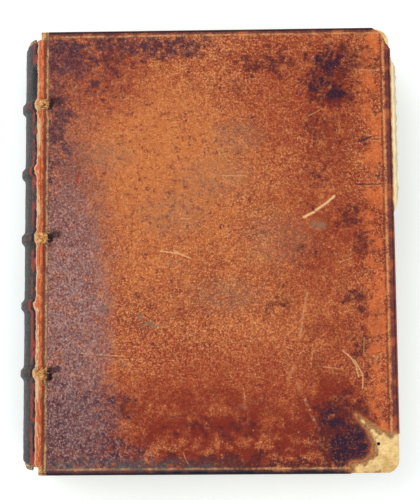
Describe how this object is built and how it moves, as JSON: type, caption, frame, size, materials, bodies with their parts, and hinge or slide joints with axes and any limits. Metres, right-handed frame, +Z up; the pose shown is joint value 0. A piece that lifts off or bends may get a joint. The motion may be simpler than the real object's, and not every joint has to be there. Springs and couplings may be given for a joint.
{
  "type": "antique leather book",
  "caption": "Antique book in worn brown calf, raised bands on the spine, cracked front joint, pasteboard showing at the corners and along the fore-edge",
  "frame": {"origin": "Centre of the bounding box at its bottom, on the surface that the book lies on", "axes": "+Z up out of the front board, +Y to the head, +X to the fore-edge, spine at -X"},
  "size_m": [0.2396, 0.28, 0.048],
  "materials": {
    "calf": "mottled brown calf, rubbed and scratched",
    "spine_calf": "darkened, rubbed calf",
    "pasteboard": "raw layered pasteboard",
    "leaves": "toned rag paper, plain cut edges",
    "endpaper": "toned laid paper",
    "endband_thread": "faded thread over a core",
    "hemp_cord": "frayed hemp"
  },
  "bodies": {
    "back_cover": {"back_board": "pasteboard", "back_board_leather": "calf", "back_pastedown": "endpaper", "back_cord_slip_1": "hemp_cord", "back_cord_slip_2": "hemp_cord", "back_cord_slip_3": "hemp_cord", "back_cord_slip_4": "hemp_cord", "back_cord_slip_5": "hemp_cord"},
    "book_block": {"text_block": "leaves", "spine_leather": "spine_calf", "head_endband": "endband_thread", "tail_endband": "endband_thread", "front_free_endpaper": "endpaper", "back_free_endpaper": "endpaper", "sewing_cord_1": "hemp_cord", "sewing_cord_2": "hemp_cord", "sewing_cord_3": "hemp_cord", "sewing_cord_4": "hemp_cord", "sewing_cord_5": "hemp_cord"},
    "front_cover": {"front_board": "pasteboard", "front_board_leather": "calf", "front_pastedown": "endpaper", "front_cord_slip_1": "hemp_cord", "front_cord_slip_2": "hemp_cord", "front_cord_slip_3": "hemp_cord", "front_cord_slip_4": "hemp_cord", "front_cord_slip_5": "hemp_cord"}
  },
  "joints": [
    {"name": "back_joint", "type": "hinge", "parent": "back_cover", "child": "book_block", "pos_m": [-0.1043, 0, 0], "axis": [0, -1, 0], "range_deg": [0, 90]},
    {"name": "front_joint", "type": "hinge", "parent": "book_block", "child": "front_cover", "pos_m": [-0.1043, 0, 0.048], "axis": [0, -1, 0], "range_deg": [0, 180]}
  ]
}
